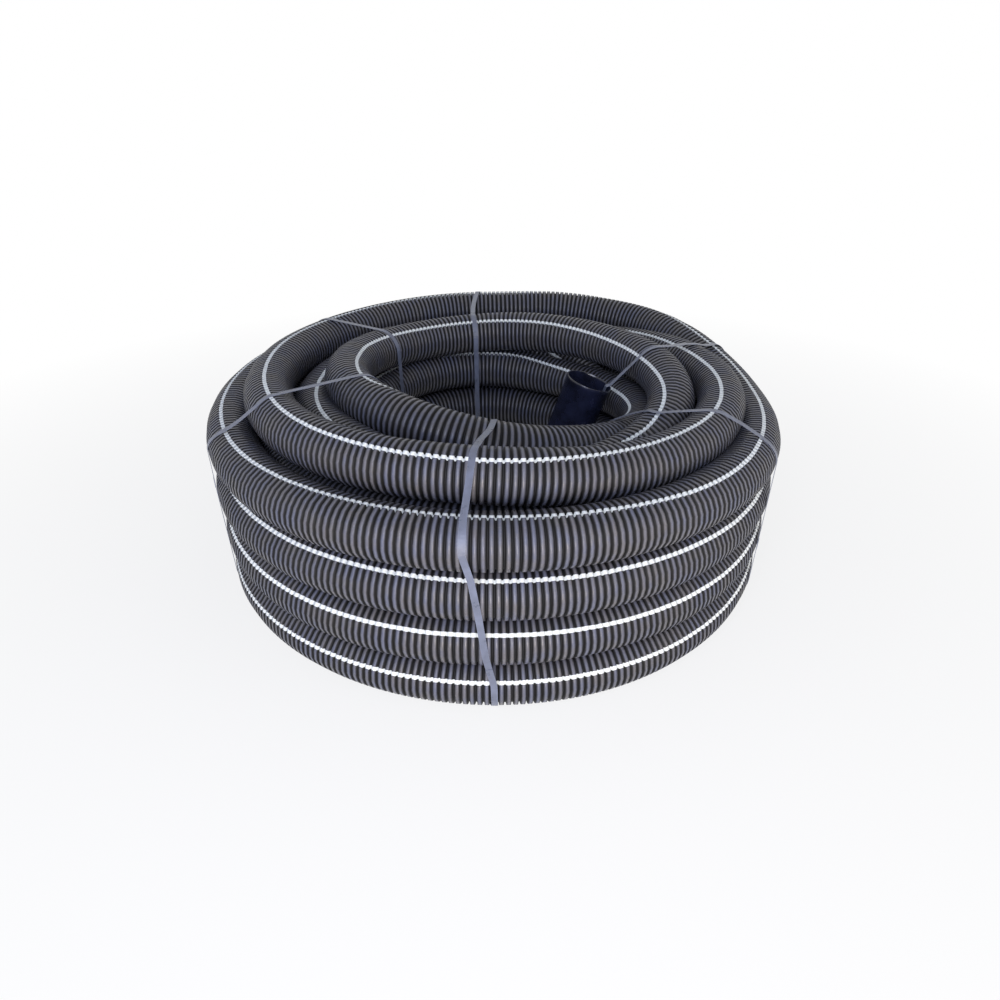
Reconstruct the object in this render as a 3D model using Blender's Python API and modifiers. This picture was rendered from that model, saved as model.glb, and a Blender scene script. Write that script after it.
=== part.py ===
"""A strapped coil of 110 mm corrugated cable duct with its loose slip-on coupler.

Metres, +Z up. The coil lies flat, its axis is Z, and the origin is on the floor at that axis.
The duct is wound from the bore outwards, clockwise from above, in four layers of four turns. The outer
layer and every second one inside it start on the floor, and the layers between them lie half a diameter
higher, in the hollows. The coil is one solid. Its outline at each step round is that of the turns there,
so it shows each turn and where each one climbs, drops or moves out to the next.
Six flat straps go round the bundle of turns, and one of them is threaded through the coupler.
"""

import math

import bmesh
import bpy
from mathutils import Matrix, Vector

# Duct and winding
DUCT_DIAMETER = 0.110
INNER_TURN_RADIUS = 0.3575  # coil axis to the centre line of the innermost layer
LAYER_STEPS = (0.0, 0.0880, 0.1848, 0.2871)  # each layer's radius over that of the innermost
LAYERS = 4
ROWS = 4
FLOOR_ROW_GAP = 0.0012  # between the turns of a layer that stands on the floor
NESTED_ROW_GAP = 0.0078  # between the turns of a layer that lies in the hollows
TURN_GROOVE_DEPTH = 0.040  # how deep the hollow between two neighbouring turns runs
FIRST_TURN = 0.35  # the duct's inner end, in turns from where the first one would begin
LAST_TURN = 15.9  # the duct's outer end

# Where each turn goes over to its own place from that of the turn before, as (azimuth, half width) in
# degrees. A turn is counted from START_AZIMUTH, and those not named move there.
START_AZIMUTH = 58.0
USUAL_MOVE = (58.0, 36.0)
MOVES_OUT = {4: (8.0, 58.0), 12: (74.0, 24.0)}
MOVES_UP = {
    1: (-67.0, 68.0),
    2: (-67.0, 68.0),
    3: (-67.0, 68.0),
    4: (-18.0, 45.0),
    9: (-45.0, 60.0),
    10: (-45.0, 60.0),
    11: (-45.0, 60.0),
    12: (12.0, 36.0),
    13: (48.0, 32.0),
    14: (48.0, 32.0),
    15: (48.0, 32.0),
}

# Places where a turn lies off its row, as (turn, azimuth, radius, height, reach to either side), the
# radius and height in duct diameters and the rest in degrees
OFF_ROW = (
    (0, -67.0, 0.0, -0.50, 110.0),
    (3, -90.0, -0.08, 0.0, 60.0),
    (3, -10.0, 0.12, 0.05, 60.0),
    (3, 180.0, 0.05, 0.03, 70.0),
    (4, 180.0, -0.09, 0.34, 80.0),
    (8, 22.0, 0.0, -0.50, 95.0),
    (9, 22.0, 0.0, 0.58, 95.0),
    (10, 22.0, 0.0, 0.60, 95.0),
    (11, 22.0, 0.0, 0.60, 95.0),
    (11, 90.0, 0.04, 0.06, 70.0),
    (11, 0.0, 0.15, 0.0, 50.0),
    (11, -90.0, -0.11, 0.0, 60.0),
    (12, 0.0, -0.02, -0.12, 50.0),
    (15, -90.0, -0.05, 0.0, 170.0),
)

# Straps
STRAP_WIDTH = 0.013
STRAP_THICKNESS = 0.0008
STRAP_AZIMUTHS = {  # degrees from +X towards +Y, moved to the nearest facet or ridge of the coil
    "strap_back_right": 20.0,
    "strap_back": 97.0,
    "strap_back_left": 147.0,
    "strap_front_left": 210.5,
    "strap_front": 266.0,
    "strap_front_right": 333.0,
}
THREADED_STRAP = "strap_back_right"

# Coupler
COUPLER_BORE = 0.1116  # slides over the 110 mm duct
COUPLER_WALL = 0.0028
COUPLER_LENGTH = 0.170
COUPLER_STOP_HEIGHT = 0.003  # ring halfway down the bore that stops both duct ends
COUPLER_STOP_LENGTH = 0.006
COUPLER_CHAMFER = 0.0010
COUPLER_LEAN = math.radians(18.0)  # its top leans outwards
COUPLER_DROP = 0.0795  # from the top of the highest rows down to the middle of the upper mouth
COUPLER_AZIMUTH = math.radians(-1.0)
COUPLER_STANDOFF = 0.0579  # from the innermost turns in to the middle of the upper mouth
STRAP_ENTRY_TURN = math.radians(12.0)  # where the strap crosses the rim, from the leaning side
STRAP_ROOM_AT_STOP = 0.002  # between the strap and the stop ring, because the ring is round and it is flat

# How finely round things are cut, and the gap that keeps neighbours apart
TURN_SIDES = 12
COIL_STEPS = 48
COUPLER_STEPS = 32
CLEARANCE = 0.0003
ARC_MARGIN = math.radians(30.0)  # a turn's round stops this far before the direction of the next turn
NEIGHBOURS = 1.3  # turns whose centres are this many diameters apart or nearer have a hollow between them
MERGE_DISTANCE = 0.00005
ROOM_UNDER = 0.0005  # a strap that comes this near to the floor lies flat on it
IN_LINE = 1e-12  # three points whose cross product is below this count as one straight line

# Worked out from the sizes above
TURN_RADIUS = DUCT_DIAMETER / 2
FLOOR_ROW_PITCH = DUCT_DIAMETER + FLOOR_ROW_GAP
NESTED_ROW_PITCH = DUCT_DIAMETER + NESTED_ROW_GAP
COIL_BASE = STRAP_THICKNESS + CLEARANCE  # the straps run under the coil
HIGHEST_ROW_TOP = COIL_BASE + DUCT_DIAMETER + (ROWS - 1) * NESTED_ROW_PITCH + TURN_RADIUS
COUPLER_MOUTH_HEIGHT = HIGHEST_ROW_TOP - COUPLER_DROP
FACET_ANGLE = 2 * math.pi / COIL_STEPS
FACET_SHRINK = math.cos(FACET_ANGLE / 2)  # a facet's middle is this much nearer to the axis
OUTER_REACH = TURN_RADIUS / math.cos(math.pi / TURN_SIDES)  # of a turn's corners, so its flats touch
COUPLER_RADIUS = COUPLER_BORE / 2 + COUPLER_WALL


def clear_scene():
    for obj in list(bpy.data.objects):
        bpy.data.objects.remove(obj, do_unlink=True)


def new_collection(name):
    collection = bpy.data.collections.new(name)
    bpy.context.scene.collection.children.link(collection)
    return collection


def make_material(name, colour, roughness):
    material = bpy.data.materials.new(name)
    material.use_nodes = True
    shader = material.node_tree.nodes["Principled BSDF"]
    shader.inputs["Base Color"].default_value = (*colour, 1.0)
    shader.inputs["Roughness"].default_value = roughness
    shader.inputs["Metallic"].default_value = 0.0
    return material


def add_object(name, bm, material, collection):
    mesh = bpy.data.meshes.new(name)
    bm.to_mesh(mesh)
    bm.free()
    mesh.materials.append(material)
    obj = bpy.data.objects.new(name, mesh)
    collection.objects.link(obj)
    return obj


def turned(name, profile, steps, material, collection):
    """A solid turned about Z from a closed (radius, height) outline that runs down its outer side."""
    bm = bmesh.new()
    corners = [bm.verts.new((r, 0.0, z)) for r, z in profile]
    for first, second in zip(corners, corners[1:] + corners[:1]):
        bm.edges.new((first, second))
    obj = add_object(name, bm, material, collection)
    screw = obj.modifiers.new("turn", "SCREW")
    screw.axis = "Z"
    screw.angle = 2 * math.pi
    screw.steps = steps
    screw.render_steps = steps
    screw.use_merge_vertices = True
    screw.merge_threshold = MERGE_DISTANCE
    return obj


# Winding

def stands_on_floor(layer):
    return (LAYERS - 1 - layer) % 2 == 0


def row_centre(layer, row):
    """Radius and height of a row's centre line; layer 0 is the innermost and row 0 the lowest."""
    radius = INNER_TURN_RADIUS + LAYER_STEPS[layer]
    if stands_on_floor(layer):
        return Vector((radius, COIL_BASE + TURN_RADIUS + row * FLOOR_ROW_PITCH))
    return Vector((radius, COIL_BASE + DUCT_DIAMETER + row * NESTED_ROW_PITCH))


def turn_place(turn):
    """A turn's row. The winding climbs the innermost layer, goes down the next, and so on."""
    layer, count = divmod(turn, ROWS)
    return row_centre(layer, count if layer % 2 == 0 else ROWS - 1 - count)


def eased(share):
    share = min(max(share, 0.0), 1.0)
    return share * share * (3 - 2 * share)


def moved_share(turn, wound, moves):
    """How far a turn has gone over to its own place once so much is wound, from 0 to 1."""
    azimuth, half_width = moves.get(turn, USUAL_MOVE)
    middle = turn + (START_AZIMUTH - azimuth) / 360.0
    return eased((wound - middle) * 180.0 / half_width + 0.5)


def centre_after(wound):
    """Radius and height of the duct's centre line after so many turns."""
    centre = turn_place(0)
    for turn in range(1, LAYERS * ROWS):
        step = turn_place(turn) - turn_place(turn - 1)
        centre.x += step.x * moved_share(turn, wound, MOVES_OUT)
        centre.y += step.y * moved_share(turn, wound, MOVES_UP)
    for turn, azimuth, out, up, reach in OFF_ROW:
        middle = turn + ((START_AZIMUTH - azimuth) % 360.0) / 360.0
        away = abs(wound - middle) * 360.0 / reach
        if away < 1:
            centre += Vector((out, up)) * DUCT_DIAMETER * math.cos(away * math.pi / 2) ** 2
    centre.x = min(centre.x, row_centre(LAYERS - 1, 0).x)
    centre.y = max(centre.y, row_centre(LAYERS - 1, 0).y)
    return centre


def turns_at(azimuth):
    """Centres of the turns that pass an azimuth in radians."""
    part = ((START_AZIMUTH - math.degrees(azimuth)) % 360.0) / 360.0
    wound = [part + turn for turn in range(LAYERS * ROWS)]
    return [centre_after(w) for w in wound if FIRST_TURN <= w <= LAST_TURN]


def rim_rows():
    """Centres of the rows that show, once round the bundle: up the outside and down the bore."""
    outer = [row_centre(LAYERS - 1, row) for row in range(ROWS)]
    top = [row_centre(layer, ROWS - 1) for layer in range(LAYERS - 2, -1, -1)]
    bore = [row_centre(0, row) for row in range(ROWS - 2, -1, -1)]
    bottom = [row_centre(layer, 0) for layer in range(1, LAYERS - 1)]
    return outer + top + bore + bottom


def turn_corners(centre, start, end):
    """Corners of one row's flat-sided round between two directions, its flats touching the circle."""
    step = 2 * math.pi / TURN_SIDES
    reach = TURN_RADIUS / math.cos(step / 2)
    first = math.ceil((start - step / 2) / step)
    last = math.floor((end - step / 2) / step)
    angles = [step / 2 + k * step for k in range(first, last + 1)]
    return [centre + reach * Vector((math.cos(a), math.sin(a))) for a in angles]


def bundle_middle():
    lowest, highest = row_centre(LAYERS - 1, 0), row_centre(0, ROWS - 1)
    return (lowest + highest) / 2


def looks():
    """Directions from the bundle's middle to the corners and hollows of its rim, once round."""
    rows = rim_rows()
    corners = []
    for i, centre in enumerate(rows):
        before = rows[i - 1] - centre
        after = rows[(i + 1) % len(rows)] - centre
        start = math.atan2(before.y, before.x)
        end = math.atan2(after.y, after.x)
        if end <= start:
            end += 2 * math.pi
        corners += turn_corners(centre, start + ARC_MARGIN, end - ARC_MARGIN)
        outward = Vector((after.y, -after.x)).normalized()
        corners.append(centre + after / 2 + outward * (TURN_RADIUS - TURN_GROOVE_DEPTH))
    around = [corner - bundle_middle() for corner in corners]
    return sorted((way.normalized() for way in around), key=lambda way: math.atan2(way.y, way.x))


def last_of_round(way, centre, radius):
    """How far along a direction from the bundle's middle a circle is left, or 0 if it is missed."""
    offset = centre - bundle_middle()
    along = offset.dot(way)
    inside = radius ** 2 - (offset - way * along).length_squared
    return along + math.sqrt(inside) if inside > 0 else 0.0


def coil_outline(azimuth):
    """The bundle's outline in (radius, height) at an azimuth, a round lobe for each turn."""
    turns = turns_at(azimuth)
    rounds = [(centre, OUTER_REACH) for centre in turns]
    for i, centre in enumerate(turns):
        for other in turns[i + 1:]:
            if (other - centre).length < NEIGHBOURS * DUCT_DIAMETER:
                rounds.append(((centre + other) / 2, TURN_RADIUS - TURN_GROOVE_DEPTH))
    outline = []
    for way in looks():
        point = bundle_middle() + way * max(last_of_round(way, *r) for r in rounds)
        outline.append(Vector((point.x, max(point.y, COIL_BASE))))
    return outline


def make_coil(material, collection):
    """The bundle: its outline at every step round the axis, each joined to the next."""
    bm = bmesh.new()
    rings = []
    for step in range(COIL_STEPS):
        out = outward_at(step * FACET_ANGLE)
        outline = coil_outline(step * FACET_ANGLE)
        rings.append([bm.verts.new(out * p.x + Vector((0, 0, p.y))) for p in outline])
    for ring, following in zip(rings, rings[1:] + rings[:1]):
        for i, corner in enumerate(ring):
            bm.faces.new((corner, following[i], following[i - 1], ring[i - 1]))
    bmesh.ops.recalc_face_normals(bm, faces=bm.faces)
    return add_object("duct_coil", bm, material, collection)


# Straps

def hull(points):
    """Convex outline of (radius, height) points, anticlockwise."""
    ordered = sorted((p.x, p.y) for p in points)

    def half(sequence):
        chain = []
        for p in sequence:
            while len(chain) > 1:
                (ax, ay), (bx, by) = chain[-2:]
                if (bx - ax) * (p[1] - ay) - (by - ay) * (p[0] - ax) > IN_LINE:
                    break
                chain.pop()
            chain.append(p)
        return chain[:-1]

    return [Vector(p) for p in half(ordered) + half(ordered[::-1])]


def grown(loop, distance):
    """A convex anticlockwise outline moved outwards by a distance, its corners kept sharp."""
    moved = []
    for i, corner in enumerate(loop):
        into = (corner - loop[i - 1]).normalized()
        out = (loop[(i + 1) % len(loop)] - corner).normalized()
        normal_in = Vector((into.y, -into.x))
        normal_out = Vector((out.y, -out.x))
        mitre = (normal_in + normal_out).normalized()
        moved.append(corner + mitre * distance / mitre.dot(normal_in))
    return moved


def strap_place(name):
    """A strap's azimuth, and whether it lies on a ridge of the coil's outside or on a facet's middle."""
    half_facets = round(math.radians(STRAP_AZIMUTHS[name]) / (FACET_ANGLE / 2))
    return half_facets * FACET_ANGLE / 2, half_facets % 2 == 0


def strap_section(azimuth, on_ridge):
    """The strap's inner face round the bundle in (radius, height). It lies over the outlines of the
    steps beside it. In the bore a ridge lies back, and it is the facets beside it that it touches."""
    middle = bundle_middle().x
    beside = [0.0, -FACET_ANGLE, FACET_ANGLE] if on_ridge else [-FACET_ANGLE / 2, FACET_ANGLE / 2]
    around = []
    for offset in beside:
        for p in coil_outline(azimuth + offset):
            nearness = 1.0 if on_ridge and not offset and p.x > middle else FACET_SHRINK
            around.append(Vector((p.x * nearness, p.y)))
    section = grown(hull(around), CLEARANCE)
    return [Vector((p.x, p.y if p.y > COIL_BASE + ROOM_UNDER else STRAP_THICKNESS)) for p in section]


def outward_at(azimuth):
    return Vector((math.cos(azimuth), math.sin(azimuth), 0.0))


def across_at(azimuth):
    return Vector((-math.sin(azimuth), math.cos(azimuth), 0.0))


def plain_stations(azimuth, on_ridge):
    """Points of a strap that lies flat against the bundle all the way, each with its width direction."""
    out = outward_at(azimuth)
    across = across_at(azimuth)
    return [(out * p.x + Vector((0, 0, p.y)), across) for p in strap_section(azimuth, on_ridge)]


def make_strap(name, stations, material, collection):
    """A closed band: a strip through the stations, thickened on the side away from the duct."""
    bm = bmesh.new()
    half_width = STRAP_WIDTH / 2
    edges = []
    for point, across in stations:
        edges.append((bm.verts.new(point - across * half_width), bm.verts.new(point + across * half_width)))
    for (low, high), (next_low, next_high) in zip(edges, edges[1:] + edges[:1]):
        bm.faces.new((low, high, next_high, next_low))
    strap = add_object(name, bm, material, collection)
    thicken = strap.modifiers.new("thickness", "SOLIDIFY")
    thicken.thickness = STRAP_THICKNESS
    thicken.offset = 1.0
    thicken.use_even_offset = True
    return strap


# Coupler

def coupler_profile():
    """(radius, height) outline of the sleeve about its own middle, down the outside and up the bore."""
    outer = COUPLER_RADIUS
    bore = COUPLER_BORE / 2
    end = COUPLER_LENGTH / 2
    stop = COUPLER_STOP_LENGTH / 2
    crest = bore - COUPLER_STOP_HEIGHT
    return [
        (bore + COUPLER_CHAMFER, end),
        (outer, end),
        (outer, -end),
        (bore + COUPLER_CHAMFER, -end),
        (bore, -end + COUPLER_CHAMFER),
        (bore, -stop - COUPLER_STOP_HEIGHT),
        (crest, -stop),
        (crest, stop),
        (bore, stop + COUPLER_STOP_HEIGHT),
        (bore, end - COUPLER_CHAMFER),
    ]


def coupler_axis():
    return outward_at(COUPLER_AZIMUTH) * math.sin(COUPLER_LEAN) + Vector((0, 0, math.cos(COUPLER_LEAN)))


def coupler_mouth():
    """Middle of the upper mouth, held off the innermost turns by the strap that it hangs on."""
    radius = INNER_TURN_RADIUS - TURN_RADIUS - COUPLER_STANDOFF
    return outward_at(COUPLER_AZIMUTH) * radius + Vector((0, 0, COUPLER_MOUTH_HEIGHT))


def coupler_frame():
    """The coupler's own X (towards its leaning side), Y and Z (its axis) in the coil's frame."""
    axis = coupler_axis()
    side = across_at(COUPLER_AZIMUTH)
    return side.cross(axis).normalized(), side, axis


def make_coupler(material, collection):
    coupler = turned("coupler", coupler_profile(), COUPLER_STEPS, material, collection)
    x, y, z = coupler_frame()
    middle = coupler_mouth() - z * COUPLER_LENGTH / 2
    turn = Matrix((x, y, z)).transposed().to_4x4()
    coupler.matrix_world = Matrix.Translation(middle) @ turn
    return coupler


def threaded_stations(azimuth, on_ridge):
    """Points of the strap that leaves the top inner turn, goes down through the coupler and rejoins
    the bundle at the bottom of the bore."""
    x, y, axis = coupler_frame()
    mouth = coupler_mouth()
    far_mouth = mouth - axis * COUPLER_LENGTH
    to_rim = x * math.cos(STRAP_ENTRY_TURN) + y * math.sin(STRAP_ENTRY_TURN)
    along_rim = axis.cross(to_rim)
    over = axis * CLEARANCE
    inside = COUPLER_BORE / 2 - COUPLER_STOP_HEIGHT - STRAP_ROOM_AT_STOP
    through = [
        (mouth + to_rim * (COUPLER_RADIUS + CLEARANCE) + over, along_rim),
        (mouth + to_rim * inside + over, along_rim),
        (far_mouth + to_rim * inside - over, along_rim),
    ]
    section = strap_section(azimuth, on_ridge)
    middle = bundle_middle().y
    stations = []
    for i, (p, station) in enumerate(zip(section, plain_stations(azimuth, on_ridge))):
        following = section[(i + 1) % len(section)]
        stations.append(station)
        if p.y > middle > following.y:
            stations += through
    return stations


def build():
    clear_scene()
    collection = new_collection("corrugated_cable_duct_coil")
    duct_black = make_material("black_polyethylene_duct", (0.022, 0.022, 0.025), 0.38)
    strap_grey = make_material("dark_grey_polypropylene_strap", (0.13, 0.14, 0.17), 0.35)
    coupler_black = make_material("black_polyethylene_coupler", (0.014, 0.015, 0.024), 0.30)

    coil = make_coil(duct_black, collection)
    coil.data.shade_smooth()
    for name in STRAP_AZIMUTHS:
        stations = threaded_stations if name == THREADED_STRAP else plain_stations
        make_strap(name, stations(*strap_place(name)), strap_grey, collection)
    make_coupler(coupler_black, collection)


build()
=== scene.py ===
# %% [markdown]
# # A strapped coil of corrugated cable duct
# Cable duct is a black twin-wall pipe: a corrugated outer wall for strength round a smooth inner wall
# that the cables slide through. It is delivered as a 50 m coil, held by flat plastic straps, with a
# loose coupler hung in the middle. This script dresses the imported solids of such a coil. It winds the
# real duct, rib by rib, lays the straps over it, details the coupler, and then sets up materials,
# light and camera. All lengths are metres, +Z is up, and the coil lies on the floor round the Z axis.

import math

import bmesh
import bpy
import numpy as np
from mathutils import Matrix, Vector


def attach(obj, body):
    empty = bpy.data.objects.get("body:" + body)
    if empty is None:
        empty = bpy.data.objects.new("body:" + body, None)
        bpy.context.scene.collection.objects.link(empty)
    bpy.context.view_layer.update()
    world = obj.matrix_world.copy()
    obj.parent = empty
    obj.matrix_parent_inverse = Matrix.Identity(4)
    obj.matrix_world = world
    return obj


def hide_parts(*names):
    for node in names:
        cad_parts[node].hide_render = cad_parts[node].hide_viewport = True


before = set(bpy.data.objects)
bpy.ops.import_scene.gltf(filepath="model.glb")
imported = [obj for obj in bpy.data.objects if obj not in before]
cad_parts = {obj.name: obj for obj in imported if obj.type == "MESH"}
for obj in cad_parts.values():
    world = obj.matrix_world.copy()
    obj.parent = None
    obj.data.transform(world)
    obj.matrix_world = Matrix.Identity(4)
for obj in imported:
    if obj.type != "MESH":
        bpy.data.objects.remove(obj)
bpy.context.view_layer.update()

# %% [markdown]
# ## How the duct is wound
# The duct is wound from the bore outwards, clockwise as seen from above. It climbs the bore in four
# turns, drops one layer out, comes down in four turns, climbs again, and goes down the outside.
# The outermost layer and every second one inside it stand on the floor. The layers between them lie
# half a duct higher, in the hollows. One turn's place is a radius and a height, and both are given in
# duct diameters, because that is the unit in which a photograph of such a coil can be measured.

# %% Places of the sixteen turns
DUCT = 0.110
LAYER_RADII = (3.25, 4.05, 4.93, 5.86)
FLOOR_HEIGHTS = (0.51, 1.52, 2.53, 3.54)
NESTED_HEIGHTS = (1.01, 2.08, 3.15, 4.22)
STARTS_AT = 58.0  # azimuth of the duct's inner end and of every change of turn, degrees

places = []
for layer, radius in enumerate(LAYER_RADII):
    heights = FLOOR_HEIGHTS if layer in (1, 3) else NESTED_HEIGHTS
    climb = heights if layer % 2 == 0 else heights[::-1]
    places += [(radius, height) for height in climb]
print(len(places), "turns, the last at", places[-1])

# %% [markdown]
# No turn of a real coil stays in one plane. Each slides from its own place to the next over part of
# a turn, and where it slides is what gives a coil its hand-wound look. So each change has an azimuth
# at its middle and a half width, for the radius and for the height on their own. Soft nudges then
# bring the turns that show to where they lie on the real coil.

# %% Changes from turn to turn, and nudges
CHANGE_HALF = 36.0  # degrees from the middle of a plain change to its start and to its end

OUTWARDS = {turn: (STARTS_AT, CHANGE_HALF) for turn in range(1, len(places))}
UPWARDS = dict(OUTWARDS)
UPWARDS.update({turn: (-67.0, 68.0) for turn in (1, 2, 3)})
UPWARDS.update({turn: (-45.0, 60.0) for turn in (9, 10, 11)})
UPWARDS.update({turn: (48.0, 32.0) for turn in (13, 14, 15)})
OUTWARDS.update({4: (8.0, 58.0), 12: (65.0, 27.0)})
UPWARDS.update({4: (-25.0, 40.0), 12: (22.0, 32.0)})

NUDGES = [  # turn, azimuth, (radius, height), reach in degrees to either side
    (0, -67, (0.0, -0.50), 110),
    (2, 97, (0.18, 0.06), 70),
    (3, -90, (0.04, -0.06), 60),
    (3, -10, (0.40, 0.04), 60),
    (3, 120, (-0.06, -0.10), 70),
    (3, 185, (0.06, 0.05), 60),
    (4, -22, (0.18, 0.04), 45),
    (4, 185, (-0.10, 0.12), 85),
    (4, 225, (-0.04, 0.20), 50),
    (8, 22, (0.0, -0.50), 95),
    (9, 22, (0.0, 0.58), 95),
    (10, 22, (0.0, 0.60), 95),
    (11, 22, (0.0, 0.66), 95),
    (11, 0, (0.26, 0.10), 50),
    (11, -90, (-0.08, -0.03), 60),
    (11, 90, (0.04, 0.09), 70),
    (12, 0, (0.02, -0.10), 50),
    (12, 50, (0.0, -0.11), 26),
    (12, 150, (0.0, 0.10), 60),
    (12, 205, (-0.08, 0.0), 60),
    (12, -90, (-0.02, 0.0), 60),
    (13, -90, (-0.02, 0.0), 60),
    (14, -90, (-0.02, 0.0), 60),
    (13, 190, (-0.06, 0.0), 80),
    (14, 190, (-0.06, 0.0), 80),
    (15, 190, (-0.06, 0.0), 80),
    (15, -105, (-0.04, 0.0), 50),
]


def eased(share):
    share = np.clip(share, 0.0, 1.0)
    return share * share * (3 - 2 * share)


def turns_until(turn, azimuth):
    """How many turns the winding has made when a turn passes an azimuth."""
    return turn + ((STARTS_AT - azimuth) % 360.0) / 360.0


# %% [markdown]
# The winding is one array, with a radius and a height for every two degrees of every turn. It starts
# at the first turn's place, and each change adds the step to the next place, eased in and out.

# %% Wind it
STEPS_A_TURN = 180
FIRST_TURN, LAST_TURN = 0.35, 15.9

turns = np.arange(int(FIRST_TURN * STEPS_A_TURN), int(LAST_TURN * STEPS_A_TURN) + 1) / STEPS_A_TURN
azimuths = np.radians(STARTS_AT - 360.0 * turns)
wound = np.repeat(np.array(places[:1]), len(turns), axis=0)
for changes, part in ((OUTWARDS, 0), (UPWARDS, 1)):
    for turn, (azimuth, half_width) in changes.items():
        middle = turn + (STARTS_AT - azimuth) / 360.0
        share = eased((turns - middle) * 180.0 / half_width + 0.5)
        wound[:, part] += (places[turn][part] - places[turn - 1][part]) * share
for turn, azimuth, nudge, reach in NUDGES:
    away = np.clip((turns - turns_until(turn, azimuth)) * 360.0 / reach, -1, 1)
    wound += np.outer(np.cos(away * math.pi / 2) ** 2, nudge)
print("wound", len(turns), "steps")

# %% [markdown]
# ## Letting the turns settle
# Where turns cross from layer to layer, their paths as given would cut into each other. On the real
# coil they push each other aside. The same is done here: any two turns that are closer than 0.96 of
# a diameter at one azimuth are pushed apart, again and again, while the path is kept smooth. The
# turns that show give way least, because their places are known, and the hidden ones make the room.
# Not all of it is found, so the ribs of two turns still cut into each other by a few millimetres in
# places, which the last line printed here says.

# %% Push overlapping turns apart
TOUCHING = 0.96  # the ribs of two turns give a little where the straps press them together
LOWEST = FLOOR_HEIGHTS[0]
WIDEST = LAYER_RADII[-1]
HIGHEST = 4.29
ROUNDS = 240
PUSH_SHARE = 0.6  # how much of a push is followed in one round
SMOOTHING = np.array([1, 2, 3, 4, 3, 2, 1]) / 16.0
GIVE = [  # turns wound, and how readily the duct gives way there
    (0, 0.6), (2.6, 0.6), (2.7, 0.15), (4.9, 0.15), (5.0, 1), (10.7, 1), (10.8, 0.15), (15.8, 0.15),
]  # fmt: skip

gives = np.interp(turns, *zip(*GIVE))
margin = len(SMOOTHING) // 2
settled = wound.copy()


def overlaps(path):
    """For turns so many steps apart: those steps, the directions between, and how far past touching."""
    for apart in range(1, int(LAST_TURN - FIRST_TURN) + 1):
        inner, outer = path[: -apart * STEPS_A_TURN], path[apart * STEPS_A_TURN :]
        between = outer - inner
        distance = np.maximum(np.linalg.norm(between, axis=1), 1e-6)
        yield apart * STEPS_A_TURN, between / distance[:, None], np.maximum(TOUCHING - distance, 0.0)


def deepest(path):
    """How far the crests of the two closest turns reach into each other, in millimetres."""
    closest = max(float(depth.max()) for _, _, depth in overlaps(path))
    return (1.0 - TOUCHING + closest) * DUCT * 1000


print("deepest overlap as wound:", round(deepest(settled), 1), "mm")
for _ in range(ROUNDS):
    push = np.zeros_like(settled)
    for later, direction, depth in overlaps(settled):
        ours, theirs = gives[:-later], gives[later:]
        total = ours + theirs
        push[:-later] -= direction * (depth * ours / total)[:, None]
        push[later:] += direction * (depth * theirs / total)[:, None]
    moved = settled + PUSH_SHARE * push - wound
    padded = np.pad(moved, ((margin, margin), (0, 0)), mode="edge")
    moved = sum(weight * padded[i : i + len(moved)] for i, weight in enumerate(SMOOTHING))
    settled = wound + moved
    settled[:, 0] = np.minimum(settled[:, 0], WIDEST)
    settled[:, 1] = np.clip(settled[:, 1], LOWEST, HIGHEST)
print("largest move:", round(float(np.abs(settled - wound).max()) * DUCT * 1000), "mm")
print("deepest overlap when settled:", round(deepest(settled), 1), "mm")


def turn_centres(azimuth):
    """(radius, height) in metres of every turn that passes an azimuth in degrees."""
    found = []
    at = ((STARTS_AT - azimuth) % 360.0) / 360.0
    while at <= turns[-1]:
        if at >= turns[0]:
            found.append(DUCT * np.array([np.interp(at, turns, settled[:, part]) for part in (0, 1)]))
        at += 1.0
    return found


# %% [markdown]
# ## The path and its twist
# The duct's middle becomes one curve. Its twist decides where the white stripe lies, because the
# stripe is part of the wall and turns with the duct. The angle is counted from the top of the duct,
# outwards from the coil's axis. Where the stripe shows in the photograph, points along it were read
# off, a scratch script worked out their angles, and rounded values of these were typed in below.
# Where it is out of sight, the angle is a guess.

# %% Stripe angle along the duct
SOFTENED_OVER = 15  # steps of the winding
STRIPE = [  # turns wound, degrees from the duct's top
    (0.0, 60), (2.2, 60), (2.6, 10), (2.7, -4), (2.8, -2), (2.83, -8), (2.865, -15), (2.95, -15),
    (3.0, -35), (3.12, -47), (3.165, -44),
    (3.2, -38), (3.25, -40), (3.29, -70), (3.32, -100), (3.45, -100), (3.49, -75), (3.52, -35),
    (3.55, -4), (3.57, -6), (3.6, -20), (3.65, -36), (3.75, -34), (3.9, -36), (4.0, -42), (4.085, -50),
    (4.15, -55), (4.195, -42), (4.232, -15), (4.27, 10), (4.3, 15), (4.4, 8), (4.46, 16), (4.495, 24),
    (4.525, 25), (4.546, 22), (4.572, 8), (4.603, -5), (4.635, -13), (4.68, -12), (4.8, -12), (5.1, -80),
    (10.7, -80), (10.95, -20), (11.04, -15), (11.082, -25), (11.12, -32), (11.158, -30), (11.2, -14),
    (11.24, 6), (11.3, 7), (11.34, 14), (11.41, 32), (11.474, 28), (11.533, 18), (11.57, 10), (11.606, 0),
    (11.64, -3), (11.7, 2), (11.76, -3), (11.86, -4), (11.95, -2), (11.99, 22), (12.01, 32), (12.04, 32),
    (12.055, 18), (12.07, 2), (12.086, -3), (12.107, 3), (12.13, 10), (12.158, 6), (12.19, 8),
    (12.22, 10), (12.25, 16), (12.278, 24), (12.31, 24), (12.365, 9), (12.41, 3), (12.47, -1), (12.51, 5),
    (12.56, 13), (12.65, 17), (12.75, 20), (12.9, 36), (13.27, 44), (13.41, 32), (13.56, 32), (13.9, 44),
    (14.26, 60), (14.41, 46), (14.58, 55), (14.9, 58), (15.26, 63), (15.41, 57), (15.59, 69), (15.8, 70),
]  # fmt: skip

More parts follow.
